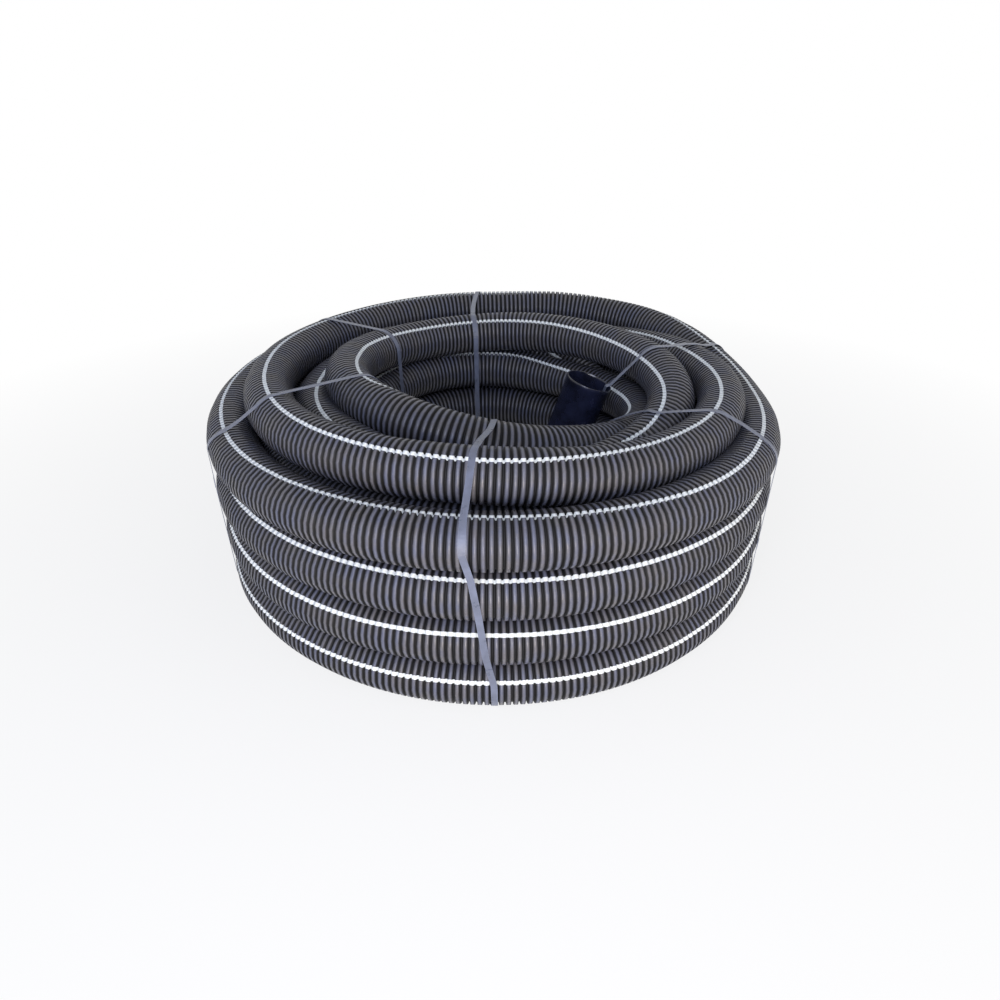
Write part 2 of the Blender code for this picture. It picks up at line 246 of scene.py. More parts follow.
stripe_angles = np.interp(turns, *np.array(STRIPE, float).T)
soft = np.hanning(SOFTENED_OVER) / np.hanning(SOFTENED_OVER).sum()
padded = np.pad(stripe_angles, SOFTENED_OVER // 2, mode="edge")
stripe_angles = np.convolve(padded, soft, mode="valid")
print("stripe angle from", round(stripe_angles.min()), "to", round(stripe_angles.max()), "degrees")

# %% [markdown]
# A Curve object carries the twist as the tilt of its points. With Z_UP as its twist mode, a point
# without tilt keeps the duct's top upwards, so the tilt is the stripe's angle and nothing more.

# %% The curve that the duct follows
radii, heights = settled.T * DUCT
points = np.stack([radii * np.cos(azimuths), radii * np.sin(azimuths), heights], axis=1)
along = np.concatenate([[0.0], np.cumsum(np.linalg.norm(np.diff(points, axis=0), axis=1))])

path = bpy.data.curves.new("duct_path", "CURVE")
path.dimensions = "3D"
path.twist_mode = "Z_UP"
spline = path.splines.new("POLY")
spline.points.add(len(points) - 1)
spline.points.foreach_set("co", np.column_stack([points, np.ones(len(points))]).ravel())
spline.points.foreach_set("tilt", -np.radians(stripe_angles))
path_object = bpy.data.objects.new("duct_path", path)
bpy.context.scene.collection.objects.link(path_object)
print("duct length", round(float(along[-1]), 2), "m")

# %% [markdown]
# ## One rib, and then 3,600 of them
# The outer wall repeats one rib every 13.4 mm: a groove, a steep wall, a rounded crest, and a wall
# down again. There are about 3,600 of them, so the one that is made has only four rings of eighteen
# faces. Smooth shading rounds its crest. An Array repeats it and welds each rib to the next, and a
# Curve modifier bends the row along the path. Both are applied, so the mesh carries its place.

# %% Make one rib
RIB_PITCH = 0.01342
CREST_RADIUS = DUCT / 2
GROOVE_RADIUS = 0.0492
GROOVE_SHARE, WALL_SHARE = 0.18, 0.11
SIDES = 18
rib_rings = [  # how far along the pitch, radius
    (0.0, GROOVE_RADIUS),
    (GROOVE_SHARE, GROOVE_RADIUS),
    (GROOVE_SHARE + WALL_SHARE, CREST_RADIUS),
    (1.0 - WALL_SHARE, CREST_RADIUS),
    (1.0, GROOVE_RADIUS),
]


def pulled_tube(rings, sides, offset=0.0):
    """A bmesh tube along X, pulled ring by ring from a circle. rings are (x, radius)."""
    bm = bmesh.new()
    x, radius = rings[0]
    upright = Matrix.Translation((x + offset, 0, 0)) @ Matrix.Rotation(math.pi / 2, 4, "Y")
    bmesh.ops.create_circle(bm, cap_ends=False, radius=radius, segments=sides, matrix=upright)
    edges = list(bm.edges)
    for next_x, next_radius in rings[1:]:
        grown = bmesh.ops.extrude_edge_only(bm, edges=edges)["geom"]
        verts = [item for item in grown if isinstance(item, bmesh.types.BMVert)]
        edges = [item for item in grown if isinstance(item, bmesh.types.BMEdge)]
        for vert in verts:
            vert.co.x = next_x + offset
            vert.co.y *= next_radius / radius
            vert.co.z *= next_radius / radius
        radius = next_radius
    return bm


def unrolled(bm, pitch):
    """UV map of a tube along X: u goes once round with 0.5 on top, and v counts pitches along."""
    uv = bm.loops.layers.uv.new("unrolled")
    for face in bm.faces:
        middle = face.calc_center_median()
        seam_side = math.atan2(middle.y, middle.z) / math.tau
        for loop in face.loops:
            share = math.atan2(loop.vert.co.y, loop.vert.co.z) / math.tau
            if share - seam_side > 0.5:
                share -= 1.0
            if share - seam_side < -0.5:
                share += 1.0
            loop[uv].uv = (0.5 + share, loop.vert.co.x / pitch)


rib = pulled_tube([(share * RIB_PITCH, radius) for share, radius in rib_rings], SIDES)
bmesh.ops.recalc_face_normals(rib, faces=rib.faces)
rib_faces_outwards = sum(f.normal.dot(f.calc_center_median() * Vector((0, 1, 1))) > 0 for f in rib.faces)
unrolled(rib, RIB_PITCH)
rib_mesh = bpy.data.meshes.new("one_rib")
rib.to_mesh(rib_mesh)
rib.free()
print("one rib:", len(rib_mesh.polygons), "faces,", rib_faces_outwards, "facing outwards")

# %% [markdown]
# The duct is split where it goes from one layer to the next, because one mesh of all its ribs would
# be too heavy to handle. The cuts are in grooves, where no eye finds them, and all four stretches
# follow the same path, so they meet exactly.

# %% Repeat the rib along the path
MERGE_WITHIN = 0.0002

ribs_until = [int(round(np.interp(turn, turns, along) / RIB_PITCH)) for turn in (FIRST_TURN, 4, 8, 12)]
ribs_until.append(int(along[-1] / RIB_PITCH) - 1)


def bent_along_path(name, mesh):
    """A mesh made along X, laid along the duct's path, as a finished mesh at the origin."""
    straight = bpy.data.objects.new(name + "_straight", mesh)
    bpy.context.scene.collection.objects.link(straight)
    bend = straight.modifiers.new("bend", "CURVE")
    bend.object = path_object
    bend.deform_axis = "POS_X"
    finished = bpy.data.meshes.new_from_object(straight.evaluated_get(bpy.context.evaluated_depsgraph_get()))
    bpy.data.objects.remove(straight)
    finished.name = name
    finished.shade_smooth()
    piece = bpy.data.objects.new(name, finished)
    bpy.context.scene.collection.objects.link(piece)
    return piece


def row_of_ribs(name, first, last):
    """The straight row from one rib number to another."""
    row = bpy.data.objects.new(name, rib_mesh.copy())
    row.data.transform(Matrix.Translation((first * RIB_PITCH, 0, 0)))
    bpy.context.scene.collection.objects.link(row)
    repeat = row.modifiers.new("repeat", "ARRAY")
    repeat.count = last - first
    repeat.use_relative_offset = False
    repeat.use_constant_offset = True
    repeat.constant_offset_displace = (RIB_PITCH, 0, 0)
    repeat.use_merge_vertices = True
    repeat.merge_threshold = MERGE_WITHIN
    repeat.offset_v = 1.0
    mesh = bpy.data.meshes.new_from_object(row.evaluated_get(bpy.context.evaluated_depsgraph_get()))
    bpy.data.objects.remove(row)
    return mesh


duct_pieces = []
for number, (first, last) in enumerate(zip(ribs_until, ribs_until[1:]), start=1):
    piece = bent_along_path(f"duct_layer_{number}", row_of_ribs("ribs", first, last))
    duct_pieces.append(piece)
    print(piece.name, last - first, "ribs,", 2 * len(piece.data.polygons), "triangles")

# %% [markdown]
# ## The duct's two ends
# Each end is sawn off square through a groove, where the outer wall is fused to the inner one. What
# shows is a thin ring of wall and the smooth bore behind it. The bore goes in far enough that the
# curve of the duct hides its depth.

# %% Make the open ends
INNER_WALL_RADIUS = 0.0468
LINER_DEPTH = 0.40
LINER_RINGS = 16
SAW_EDGE = 0.0006
SAW_BULGE = 0.3 * SAW_EDGE
END_SIDES = 36


def open_end(name, x, inwards):
    """The sawn ring and the smooth inner wall, from x along the path towards inwards (1 or -1)."""
    rings = [(0.0, GROOVE_RADIUS), (-SAW_BULGE, GROOVE_RADIUS - SAW_EDGE)]
    rings += [(-SAW_BULGE, INNER_WALL_RADIUS + SAW_EDGE), (0.0, INNER_WALL_RADIUS)]
    rings += [(LINER_DEPTH * k / LINER_RINGS, INNER_WALL_RADIUS) for k in range(1, LINER_RINGS + 1)]
    bm = pulled_tube([(inwards * depth, radius) for depth, radius in rings], END_SIDES, offset=x)
    bottom = [v for v in bm.verts if abs(v.co.x - x - inwards * LINER_DEPTH) < 1e-6]
    bmesh.ops.contextual_create(bm, geom=bottom)
    for face in bm.faces:
        outwards = face.normal.dot(face.calc_center_median() * Vector((0, 1, 1)))
        towards_mouth = face.normal.x * inwards
        if outwards > 1e-9 or (abs(outwards) <= 1e-9 and towards_mouth > 0):
            face.normal_flip()
    unrolled(bm, RIB_PITCH)
    mesh = bpy.data.meshes.new(name)
    bm.to_mesh(mesh)
    bm.free()
    return bent_along_path(name, mesh)


duct_ends = [
    open_end("duct_inner_end", 0.0, 1),
    open_end("duct_outer_end", ribs_until[-1] * RIB_PITCH, -1),
]
for piece in duct_pieces + duct_ends:
    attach(piece, "root")
    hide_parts("duct_coil")
bpy.data.objects.remove(path_object)
print([piece.name for piece in duct_ends])

# %% [markdown]
# ## The straps
# Each strap is a flat band of polypropylene, 13 mm wide and 0.8 mm thick, pulled tight round the
# bundle and welded to itself. A tight band takes the shortest way round, which is the convex outline
# of the turns it crosses. So the outline is worked out from the turns where the strap lies, a strip
# is laid along it, and Solidify gives it its thickness on the outside.

# %% Outline of the bundle at one azimuth
STRAP_WIDTH = 0.013
STRAP_THICKNESS = 0.0008
STRAP_GAP = 0.0003
ROUND_POINTS = 48


def outline_round(azimuths):
    """Convex outline in (radius, height), anticlockwise from its outermost point, round the turns."""
    around = np.linspace(0, math.tau, ROUND_POINTS, endpoint=False)
    circle = (CREST_RADIUS + STRAP_GAP) * np.stack([np.cos(around), np.sin(around)], axis=1)
    cloud = [tuple(p) for a in azimuths for centre in turn_centres(a) for p in centre + circle]
    chains = []
    for sequence in (sorted(cloud), sorted(cloud, reverse=True)):
        chain = []
        for p in sequence:
            while len(chain) > 1:
                (ax, ay), (bx, by) = chain[-2:]
                if (bx - ax) * (p[1] - ay) - (by - ay) * (p[0] - ax) > 0:
                    break
                chain.pop()
            chain.append(p)
        chains += chain[:-1]
    outermost = chains.index(max(chains))
    return chains[outermost:] + chains[:outermost]


def evenly(loop, spacing):
    """The same closed loop with points added, so that no stretch is longer than spacing."""
    filled = []
    for a, b in zip(loop, loop[1:] + loop[:1]):
        pieces = max(1, math.ceil(math.dist(a, b) / spacing))
        filled += [tuple(np.array(a) + (np.array(b) - np.array(a)) * k / pieces) for k in range(pieces)]
    return filled


print("outline at the front:", len(outline_round([-94])), "points")

# %% [markdown]
# A strap wanders from a true radial plane, as hand-pulled straps do. Its azimuth is given across the
# top by radius and down the outside by height, and it was matched to the photograph where the strap
# shows. That takes two of them, at the right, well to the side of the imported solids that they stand
# for. Each point of a strap then lies on the outline of the turns at its own azimuth, and its width
# stays square to its run.

# %% Course of a strap
STRAPS = {  # azimuth in degrees, first across the top by radius, then down the outside by height
    "strap_back_right": (
        [(3.3, 1.5), (3.7, 2.5), (4.2, 6.5), (4.7, 11.5), (5.0, 13.0), (6.0, 19.0)],
        [(0.0, 19.0), (4.3, 19.0)],
    ),
    "strap_back": ([(3.2, 99.5), (5.2, 94.5)], [(0.0, 96.0), (4.3, 94.5)]),
    "strap_back_left": ([(3.2, 149.0), (6.0, 149.0)], [(0.0, 147.0), (4.3, 149.0)]),
    "strap_front_left": (
        [(3.2, 212.5), (5.3, 212.0), (6.0, 209.0)],
        [(0.0, 203.0), (3.2, 203.0), (4.3, 209.0)],
    ),
    "strap_front": (
        [(2.9, 270.5), (3.7, 269.2), (4.4, 267.3), (5.0, 266.3), (6.0, 265.5)],
        [(0.3, 270.0), (0.8, 269.9), (1.5, 268.6), (2.35, 267.7), (3.1, 266.7), (3.6, 265.5), (4.3, 265.5)],
    ),
    "strap_front_right": (
        [(3.2, 326.0), (4.1, 321.5), (5.0, 326.0), (5.6, 329.0), (6.0, 330.0)],
        [(0.0, 332.0), (4.3, 330.0)],
    ),
}
WELD = {  # height of the lower end of each strap's weld, in duct diameters
    "strap_front": 1.02, "strap_back": 2.1, "strap_back_left": 1.6, "strap_front_left": 2.6,
    "strap_back_right": 1.7, "strap_front_right": 1.4,
}  # fmt: skip
WELD_LENGTH = 0.030  # shortened to whole stations
STATION_SPACING = 0.012
SECTION_MIDDLE = (DUCT * (LAYER_RADII[0] + LAYER_RADII[-1]) / 2, DUCT * HIGHEST / 2)
OUTSIDE_FROM, OUTSIDE_TO = 5.3, 6.2  # radii between which the outside's azimuths take over
HALF_SPAN = 0.6  # degrees to either side of a strap's middle on which its width lies


def azimuth_at(name, radius, height):
    """A strap's azimuth in degrees where it passes a radius and a height in metres."""
    across, down = STRAPS[name]
    on_top = np.interp(radius / DUCT, *zip(*across))
    on_outside = np.interp(height / DUCT, *zip(*down))
    share = eased((radius / DUCT - OUTSIDE_FROM) / (OUTSIDE_TO - OUTSIDE_FROM))
    return on_top + share * (on_outside - across[-1][1])


def reach_of(outline, towards):
    """The place where a ray from the section's middle leaves a convex outline."""
    for a, b in zip(outline, outline[1:] + outline[:1]):
        (ax, ay), (bx, by) = np.subtract(a, SECTION_MIDDLE), np.subtract(b, SECTION_MIDDLE)
        before = ax * towards[1] - ay * towards[0]
        after = bx * towards[1] - by * towards[0]
        turning = ax * by - ay * bx
        if before >= 0 > after and turning > 0:
            length = turning / (towards[0] * (by - ay) - towards[1] * (bx - ax))
            return SECTION_MIDDLE[0] + length * towards[0], SECTION_MIDDLE[1] + length * towards[1]
    return tuple(np.add(SECTION_MIDDLE, towards))


def stations_round(name):
    """Points of the strap's inner face, each with the direction of its width."""
    stations = []
    for radius, height in evenly(outline_round([STRAPS[name][0][-1][1]]), STATION_SPACING):
        degrees = azimuth_at(name, radius, height)
        towards = np.subtract((radius, height), SECTION_MIDDLE)
        radius, height = reach_of(outline_round([degrees - HALF_SPAN, degrees + HALF_SPAN]), towards)
        out = Vector((math.cos(math.radians(degrees)), math.sin(math.radians(degrees)), 0))
        stations.append((out * radius + Vector((0, 0, height)), Vector((-out.y, out.x, 0))))
    return stations


# %% [markdown]
# A strap is a strip of four-cornered faces, with a vertex on each of its edges at every station. Its
# UV map has u across the strap and v in metres along it, for the embossing. The coil stands on its
# straps, so their inner faces stay one thickness above the floor.

# %% Lay a strap
def strip(stations, closed):
    """A bmesh strip through stations, with u across it and v in metres along it."""
    bm = bmesh.new()
    uv = bm.loops.layers.uv.new("along_strap")
    rows, run, previous = [], 0.0, stations[0][0]
    course = stations + stations[:1] * closed
    for i, (place, across) in enumerate(course):
        run += (place - previous).length
        previous = place
        before = stations[i - 1][0] if closed or i else place
        after = stations[(i + 1) % len(stations)][0] if closed or i + 1 < len(stations) else place
        onward = (after - before).normalized()
        half = (across - onward * across.dot(onward)).normalized() * STRAP_WIDTH / 2
        sides = [place - half, place + half]
        for side in sides:
            side.z = max(side.z, STRAP_THICKNESS)
        rows.append((bm.verts.new(sides[0]), bm.verts.new(sides[1]), run))
    for (low, high, v), (next_low, next_high, next_v) in zip(rows, rows[1:]):
        face = bm.faces.new((low, high, next_high, next_low))
        for loop, spot in zip(face.loops, ((0, v), (1, v), (1, next_v), (0, next_v))):
            loop[uv].uv = spot
    bmesh.ops.remove_doubles(bm, verts=bm.verts, dist=1e-6)
    return bm


def finished_strap(name, stations, closed=True):
    mesh = bpy.data.meshes.new(name)
    bm = strip(stations, closed)
    bm.to_mesh(mesh)
    bm.free()
    strap = bpy.data.objects.new(name, mesh)
    bpy.context.scene.collection.objects.link(strap)
    thicken = strap.modifiers.new("thickness", "SOLIDIFY")
    thicken.thickness = STRAP_THICKNESS
    thicken.offset = 1.0
    thicken.use_even_offset = False
    return strap


print("strap stations:", len(stations_round("strap_front")))

# %% [markdown]
# ## The coupler's place
# The coupler joins two duct ends. It is a plain sleeve that slides over the duct, with a small ring
# halfway down its bore where both ends stop. It stands leaning in the coil's bore, hung on the strap
# that is threaded through it. Its frame has X towards the leaning side and Z along its axis.

# %% Coupler frame
COUPLER_LENGTH = 0.170
COUPLER_BORE_RADIUS = 0.0558
COUPLER_WALL = 0.0028
COUPLER_MOUTH = Vector((0.2446, -0.0043, 0.440))
COUPLER_LEAN = math.radians(18.0)
COUPLER_AZIMUTH = math.radians(-1.0)

coupler_out = Vector((math.cos(COUPLER_AZIMUTH), math.sin(COUPLER_AZIMUTH), 0))
coupler_axis = coupler_out * math.sin(COUPLER_LEAN) + Vector((0, 0, math.cos(COUPLER_LEAN)))
coupler_side = Vector((-coupler_out.y, coupler_out.x, 0))
coupler_lean_side = coupler_side.cross(coupler_axis).normalized()
coupler_middle = COUPLER_MOUTH - coupler_axis * COUPLER_LENGTH / 2
print("coupler middle", [round(v, 3) for v in coupler_middle])

# %% [markdown]
# Five of the straps are closed loops round the turns. The one at the back right also holds the
# coupler: it leaves the turns at the top of the bore, goes over the coupler's rim and down through
# it, and rejoins them at the bottom. Each strap has a short second layer where its ends overlap and
# are welded by friction.

# %% Thread a strap and double its weld
STRAP_ENTRY = math.radians(12.0)
RUNS_INSIDE = 0.0498
RIM_STEP = 0.002
BEND_DEPTH = 0.004
BORE_ABOVE, BORE_BELOW = DUCT * 3.38, DUCT * 2.82  # where the strap leaves the turns, and where it rejoins
HALFWAY_UP = DUCT * 2
OUTSIDE_RADIUS = DUCT * 6.0


def in_bore(place):
    """Whether the threaded strap has left the turns at a place on their outline."""
    return place.xy.length < (BORE_ABOVE if place.z > HALFWAY_UP else BORE_BELOW)


def threaded(stations):
    """The strap leaves the top inner turn, goes down through the coupler, and rejoins at the bottom."""
    toward_rim = coupler_lean_side * math.cos(STRAP_ENTRY) + coupler_side * math.sin(STRAP_ENTRY)
    along_rim = coupler_axis.cross(toward_rim)
    far_mouth = COUPLER_MOUTH - coupler_axis * COUPLER_LENGTH
    rim = COUPLER_BORE_RADIUS + COUPLER_WALL + STRAP_GAP
    over_rim = coupler_axis * STRAP_GAP
    through = [
        (COUPLER_MOUTH + toward_rim * rim + over_rim, along_rim),
        (COUPLER_MOUTH + toward_rim * (rim - RIM_STEP) + over_rim * 3, along_rim),
        (COUPLER_MOUTH + toward_rim * RUNS_INSIDE - coupler_axis * BEND_DEPTH, along_rim),
        (far_mouth + toward_rim * RUNS_INSIDE, along_rim),
    ]
    left_out = [i for i, (place, _) in enumerate(stations) if in_bore(place)]
    return stations[: min(left_out)] + through + stations[max(left_out) + 1 :]


def weld_stations(name, stations):
    """The stretch where a strap's second end lies over its first, one thickness further out."""
    outside = [i for i, (place, _) in enumerate(stations) if place.xy.length > OUTSIDE_RADIUS]
    start = min(outside, key=lambda i: abs(stations[i][0].z - WELD[name] * DUCT))
    count = max(2, round(WELD_LENGTH / STATION_SPACING))
    doubled = []
    for place, across in stations[start : start + count + 1]:
        doubled.append((place + place.xy.to_3d().normalized() * STRAP_THICKNESS, across))
    return doubled


print("welds at heights", sorted(WELD.values()), "in diameters")

# %% Lay all six straps
straps = []
for name in STRAPS:
    stations = stations_round(name)
    if name == "strap_back_right":
        stations = threaded(stations)
    strap = finished_strap(name + "_band", stations)
    weld = finished_strap(name + "_weld", weld_stations(name, stations), closed=False)
    straps += [strap, weld]
    for piece in (strap, weld):
        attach(piece, "root")
        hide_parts(name)
print(len(straps), "strap pieces")

# %% [markdown]
# ## The coupler
# It is injection-moulded, so its wall has nearly one thickness and its rims are slightly rounded.
# The upper half of its wall is drawn as a few points, mirrored downwards, and spun once round. The
# rims get a small bevel, which is what catches the light along a thin wall.

# %% Spin the coupler
COUPLER_STEPS = 96
STOP_HEIGHT = 0.003
STOP_HALF_LENGTH = 0.003
RIM_ROUNDING = 0.0008
COLLAR_LENGTH = 0.010
COLLAR_STEP = 0.001
COLLAR_DEPTH = 0.0002
GRIP_RING_DEPTH = 0.0006
MOUTH_FLARE = 0.0006
MOUTH_DEPTH = 0.006
NEARLY = 1e-5

end = COUPLER_LENGTH / 2
outer = COUPLER_BORE_RADIUS + COUPLER_WALL
outside_half = [  # radius and height, down from the upper rim
    (COUPLER_BORE_RADIUS + MOUTH_FLARE, end),
    (outer - COLLAR_DEPTH, end),
    (outer - COLLAR_DEPTH, end - COLLAR_LENGTH),
    (outer - GRIP_RING_DEPTH, end - COLLAR_LENGTH - COLLAR_STEP),
]
bore_half = [
    (COUPLER_BORE_RADIUS, end - MOUTH_DEPTH),
    (COUPLER_BORE_RADIUS, STOP_HALF_LENGTH + STOP_HEIGHT),
    (COUPLER_BORE_RADIUS - STOP_HEIGHT, STOP_HALF_LENGTH),
]
section = outside_half + [(radius, -height) for radius, height in reversed(outside_half)]
section += [(radius, -height) for radius, height in bore_half] + bore_half[::-1]

bm = bmesh.new()
corners = [bm.verts.new((radius, 0, height)) for radius, height in section]
edges = [bm.edges.new(pair) for pair in zip(corners, corners[1:] + corners[:1])]
bmesh.ops.spin(
    bm, geom=corners + edges, cent=(0, 0, 0), axis=(0, 0, 1), dvec=(0, 0, 0), angle=math.tau,
    steps=COUPLER_STEPS, use_merge=True, use_duplicate=False,
)  # fmt: skip
bmesh.ops.remove_doubles(bm, verts=bm.verts, dist=NEARLY)
bmesh.ops.recalc_face_normals(bm, faces=bm.faces)
print("coupler section:", len(section), "points, spun into", len(bm.faces), "faces")

# %% [markdown]
# Only the edges that run round a rim are bevelled. The sleeve is then leaned and set in its place.

# %% Round the rims and place the coupler
rims = []
for edge in bm.edges:
    first, second = edge.verts
    at_rim = min(abs(first.co.z), abs(second.co.z)) > end - NEARLY
    if at_rim and abs(first.co.xy.length - second.co.xy.length) < NEARLY:
        rims.append(edge)
bmesh.ops.bevel(
    bm, geom=rims, offset=RIM_ROUNDING, offset_type="OFFSET", affect="EDGES", segments=2,
    profile=0.5, material=-1,
)  # fmt: skip
turned = Matrix((coupler_lean_side, coupler_side, coupler_axis)).transposed().to_4x4()
bmesh.ops.transform(bm, matrix=Matrix.Translation(coupler_middle) @ turned, verts=bm.verts)
mesh = bpy.data.meshes.new("coupler_sleeve")
bm.to_mesh(mesh)
bm.free()
mesh.shade_smooth()
mesh.set_sharp_from_angle(angle=math.radians(40))
coupler = bpy.data.objects.new("coupler_sleeve", mesh)
bpy.context.scene.collection.objects.link(coupler)
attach(coupler, "root")
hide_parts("coupler")
print("coupler:", len(mesh.polygons), "faces")

# %% [markdown]
# ## Materials
# A material is a small graph of nodes. One function adds a node with its settings and links, so the
# rest reads as a list. Colours are written as the sRGB hex values that the eye knows, and one
# function turns them into the linear values that the renderer needs.

# %% Colour and node helpers


def linear(hex_colour):
    """(red, green, blue, 1) in linear light from an sRGB hex colour such as "#1c1c1f"."""
    parts = [int(hex_colour[i : i + 2], 16) / 255 for i in (1, 3, 5)]
    return (*[p / 12.92 if p <= 0.04045 else ((p + 0.055) / 1.055) ** 2.4 for p in parts], 1.0)


def add(tree, kind, settings=None, **inputs):
    """A node with its settings and inputs.

    An input is named with _ for each space, or i and its number. It is given a value, a socket to
    link from, or a node, whose first output is then linked.
    """
    node = tree.nodes.new(kind)
    for name, value in (settings or {}).items():
        setattr(node, name, value)
    for name, value in inputs.items():
        by_number = name[0] == "i" and name[1:].isdigit()
        socket = node.inputs[int(name[1:]) if by_number else name.replace("_", " ")]
        if isinstance(value, bpy.types.Node):
            value = value.outputs[0]
        if isinstance(value, bpy.types.NodeSocket):
            tree.links.new(value, socket)
        else:
            socket.default_value = value
    return node


def new_material(name):
    material = bpy.data.materials.new(name)
    material.use_nodes = True
    material.node_tree.nodes.clear()
    return material, material.node_tree


# In a Mix node of colours, the share is input 0, the colours are 6 and 7, and the result is output 2.
COLOURS = {"data_type": "RGBA"}
print("black in linear light:", [round(v, 4) for v in linear("#17171a")[:3]])

# %% [markdown]
# ### Black polyethylene, corrugated
# The duct is high-density polyethylene, blown against moving moulds while still hot. Carbon black
# colours it. The surface is waxy with a broad sheen. Light and shade are painted into the colour: a
# blue-grey painted highlight on each crest, brightest at its middle, and painted shade that keeps the
# grooves black, with a thin painted lit line on the groove's floor. Fine scuffs on the crests are
# real wear. The white stripes are extruded with the wall, so they follow every rib, and they too are
# painted darker in the grooves, as shade. The unrolled UV map carries all this: u goes round the
# duct, and v counts ribs.

# %% Where a point lies on its rib
CREST_MIDDLE = (GROOVE_SHARE + 1.0) / 2
CREST_HALF = (1.0 - GROOVE_SHARE) / 2

duct_black, tree = new_material("black_polyethylene_blown_corrugated")
spot = add(tree, "ShaderNodeTexCoord").outputs["Object"]
unroll = add(tree, "ShaderNodeSeparateXYZ", Vector=add(tree, "ShaderNodeUVMap", {"uv_map": "unrolled"}))
u, v = unroll.outputs[0], unroll.outputs[1]
across_rib = add(tree, "ShaderNodeMath", {"operation": "FRACT"}, i0=v)
from_crest = add(tree, "ShaderNodeMath", {"operation": "SUBTRACT"}, i0=across_rib, i1=CREST_MIDDLE)
from_crest = add(tree, "ShaderNodeMath", {"operation": "ABSOLUTE"}, i0=from_crest)
# This share peaks at each crest's middle. The colour uses it to paint a highlight on the crests and shade in
# the grooves; the roughness uses it too.
on_crest = add(
    tree, "ShaderNodeMapRange", {"interpolation_type": "SMOOTHSTEP"}, Value=from_crest,
    From_Min=CREST_HALF * 0.12, From_Max=CREST_HALF * 0.88, To_Min=1.0, To_Max=0.0,
)  # fmt: skip
from_floor = add(tree, "ShaderNodeMath", {"operation": "SUBTRACT"}, i0=across_rib, i1=GROOVE_SHARE / 2)
from_floor = add(tree, "ShaderNodeMath", {"operation": "ABSOLUTE"}, i0=from_floor)
on_floor = add(
    tree, "ShaderNodeMapRange", Value=from_floor,
    From_Min=GROOVE_SHARE * 0.15, From_Max=GROOVE_SHARE * 0.5, To_Min=1.0, To_Max=0.0,
)  # fmt: skip
print("a crest is", round(2 * CREST_HALF * RIB_PITCH * 1000, 1), "mm wide at its foot")

# %% [markdown]
# Two noises on Object coordinates break the colour up: fine scuffs of about 4 mm, and patches of
# dust of about 50 mm. The same patches let the edges of the stripe wander by up to 0.6 mm.

# %% Scuffs, dust and the stripe
STRIPE_WIDTH = 0.0080
STRIPE_WANDER = 0.0006
AROUND = math.pi * DUCT
SCUFF_SIZE = 0.004
DUST_SIZE = 0.05

scuffs = add(tree, "ShaderNodeTexNoise", Vector=spot, Scale=1 / SCUFF_SIZE, Detail=3.0, Roughness=0.6)
patches = add(tree, "ShaderNodeTexNoise", Vector=spot, Scale=1 / DUST_SIZE, Detail=4.0, Roughness=0.6)
wobble = add(
    tree, "ShaderNodeMapRange", Value=patches, From_Min=0.3, From_Max=0.7,
    To_Min=-STRIPE_WANDER / AROUND, To_Max=STRIPE_WANDER / AROUND,
)  # fmt: skip
from_stripe = add(tree, "ShaderNodeMath", {"operation": "SUBTRACT"}, i0=u, i1=0.5)
from_stripe = add(tree, "ShaderNodeMath", {"operation": "ADD"}, i0=from_stripe, i1=wobble)
from_stripe = add(tree, "ShaderNodeMath", {"operation": "ABSOLUTE"}, i0=from_stripe)
half_stripe = STRIPE_WIDTH / 2 / AROUND
stripe = add(
    tree, "ShaderNodeMapRange", Value=from_stripe,
    From_Min=half_stripe * 0.94, From_Max=half_stripe * 1.06, To_Min=1.0, To_Max=0.0,
)  # fmt: skip
print("the stripe takes", round(2 * half_stripe * 100, 1), "% of the way round")

# %% Colours of the duct
warm_to_cool = add(tree, "ShaderNodeMapRange", Value=patches, From_Min=0.38, From_Max=0.62)
scuff_share = add(tree, "ShaderNodeMapRange", Value=scuffs, From_Min=0.5, From_Max=0.8, To_Max=0.5)
# A thin line on the groove's floor is painted lighter, as light falling on the floor.
painted_floor_light_share = add(tree, "ShaderNodeMath", {"operation": "MULTIPLY"}, i0=on_floor, i1=0.8)
# The crests are painted a lighter blue-grey as a highlight, with random warm and cool patches.
painted_crest_highlight = add(
    tree, "ShaderNodeMix", COLOURS, i0=warm_to_cool, i6=linear("#605e61"), i7=linear("#5a5d6d")
).outputs[2]
crest_highlight_and_scuffs = add(tree, "ShaderNodeMix", COLOURS, i0=scuff_share, i6=painted_crest_highlight, i7=linear("#77777e")).outputs[2]
# The grooves are painted near black, as shade.
groove = add(
    tree, "ShaderNodeMix", COLOURS, i0=painted_floor_light_share, i6=linear("#020202"), i7=linear("#1e1e22")
).outputs[2]
# Painted highlight on the crests, fading into painted shade in the grooves.
painted_highlight_and_shade = add(tree, "ShaderNodeMix", COLOURS, i0=on_crest, i6=groove, i7=crest_highlight_and_scuffs).outputs[2]
# The stripe's white is painted darker in the grooves, as shade, and brighter on the crests.
white = add(
    tree, "ShaderNodeMix", COLOURS, i0=on_crest, i6=linear("#cdd1cf"), i7=linear("#e6eae8")
).outputs[2]
colour = add(tree, "ShaderNodeMix", COLOURS, i0=stripe, i6=painted_highlight_and_shade, i7=white).outputs[2]
print("duct material so far:", len(tree.nodes), "nodes")

# %% Surface of the duct
GRAIN_SIZE = 0.0015

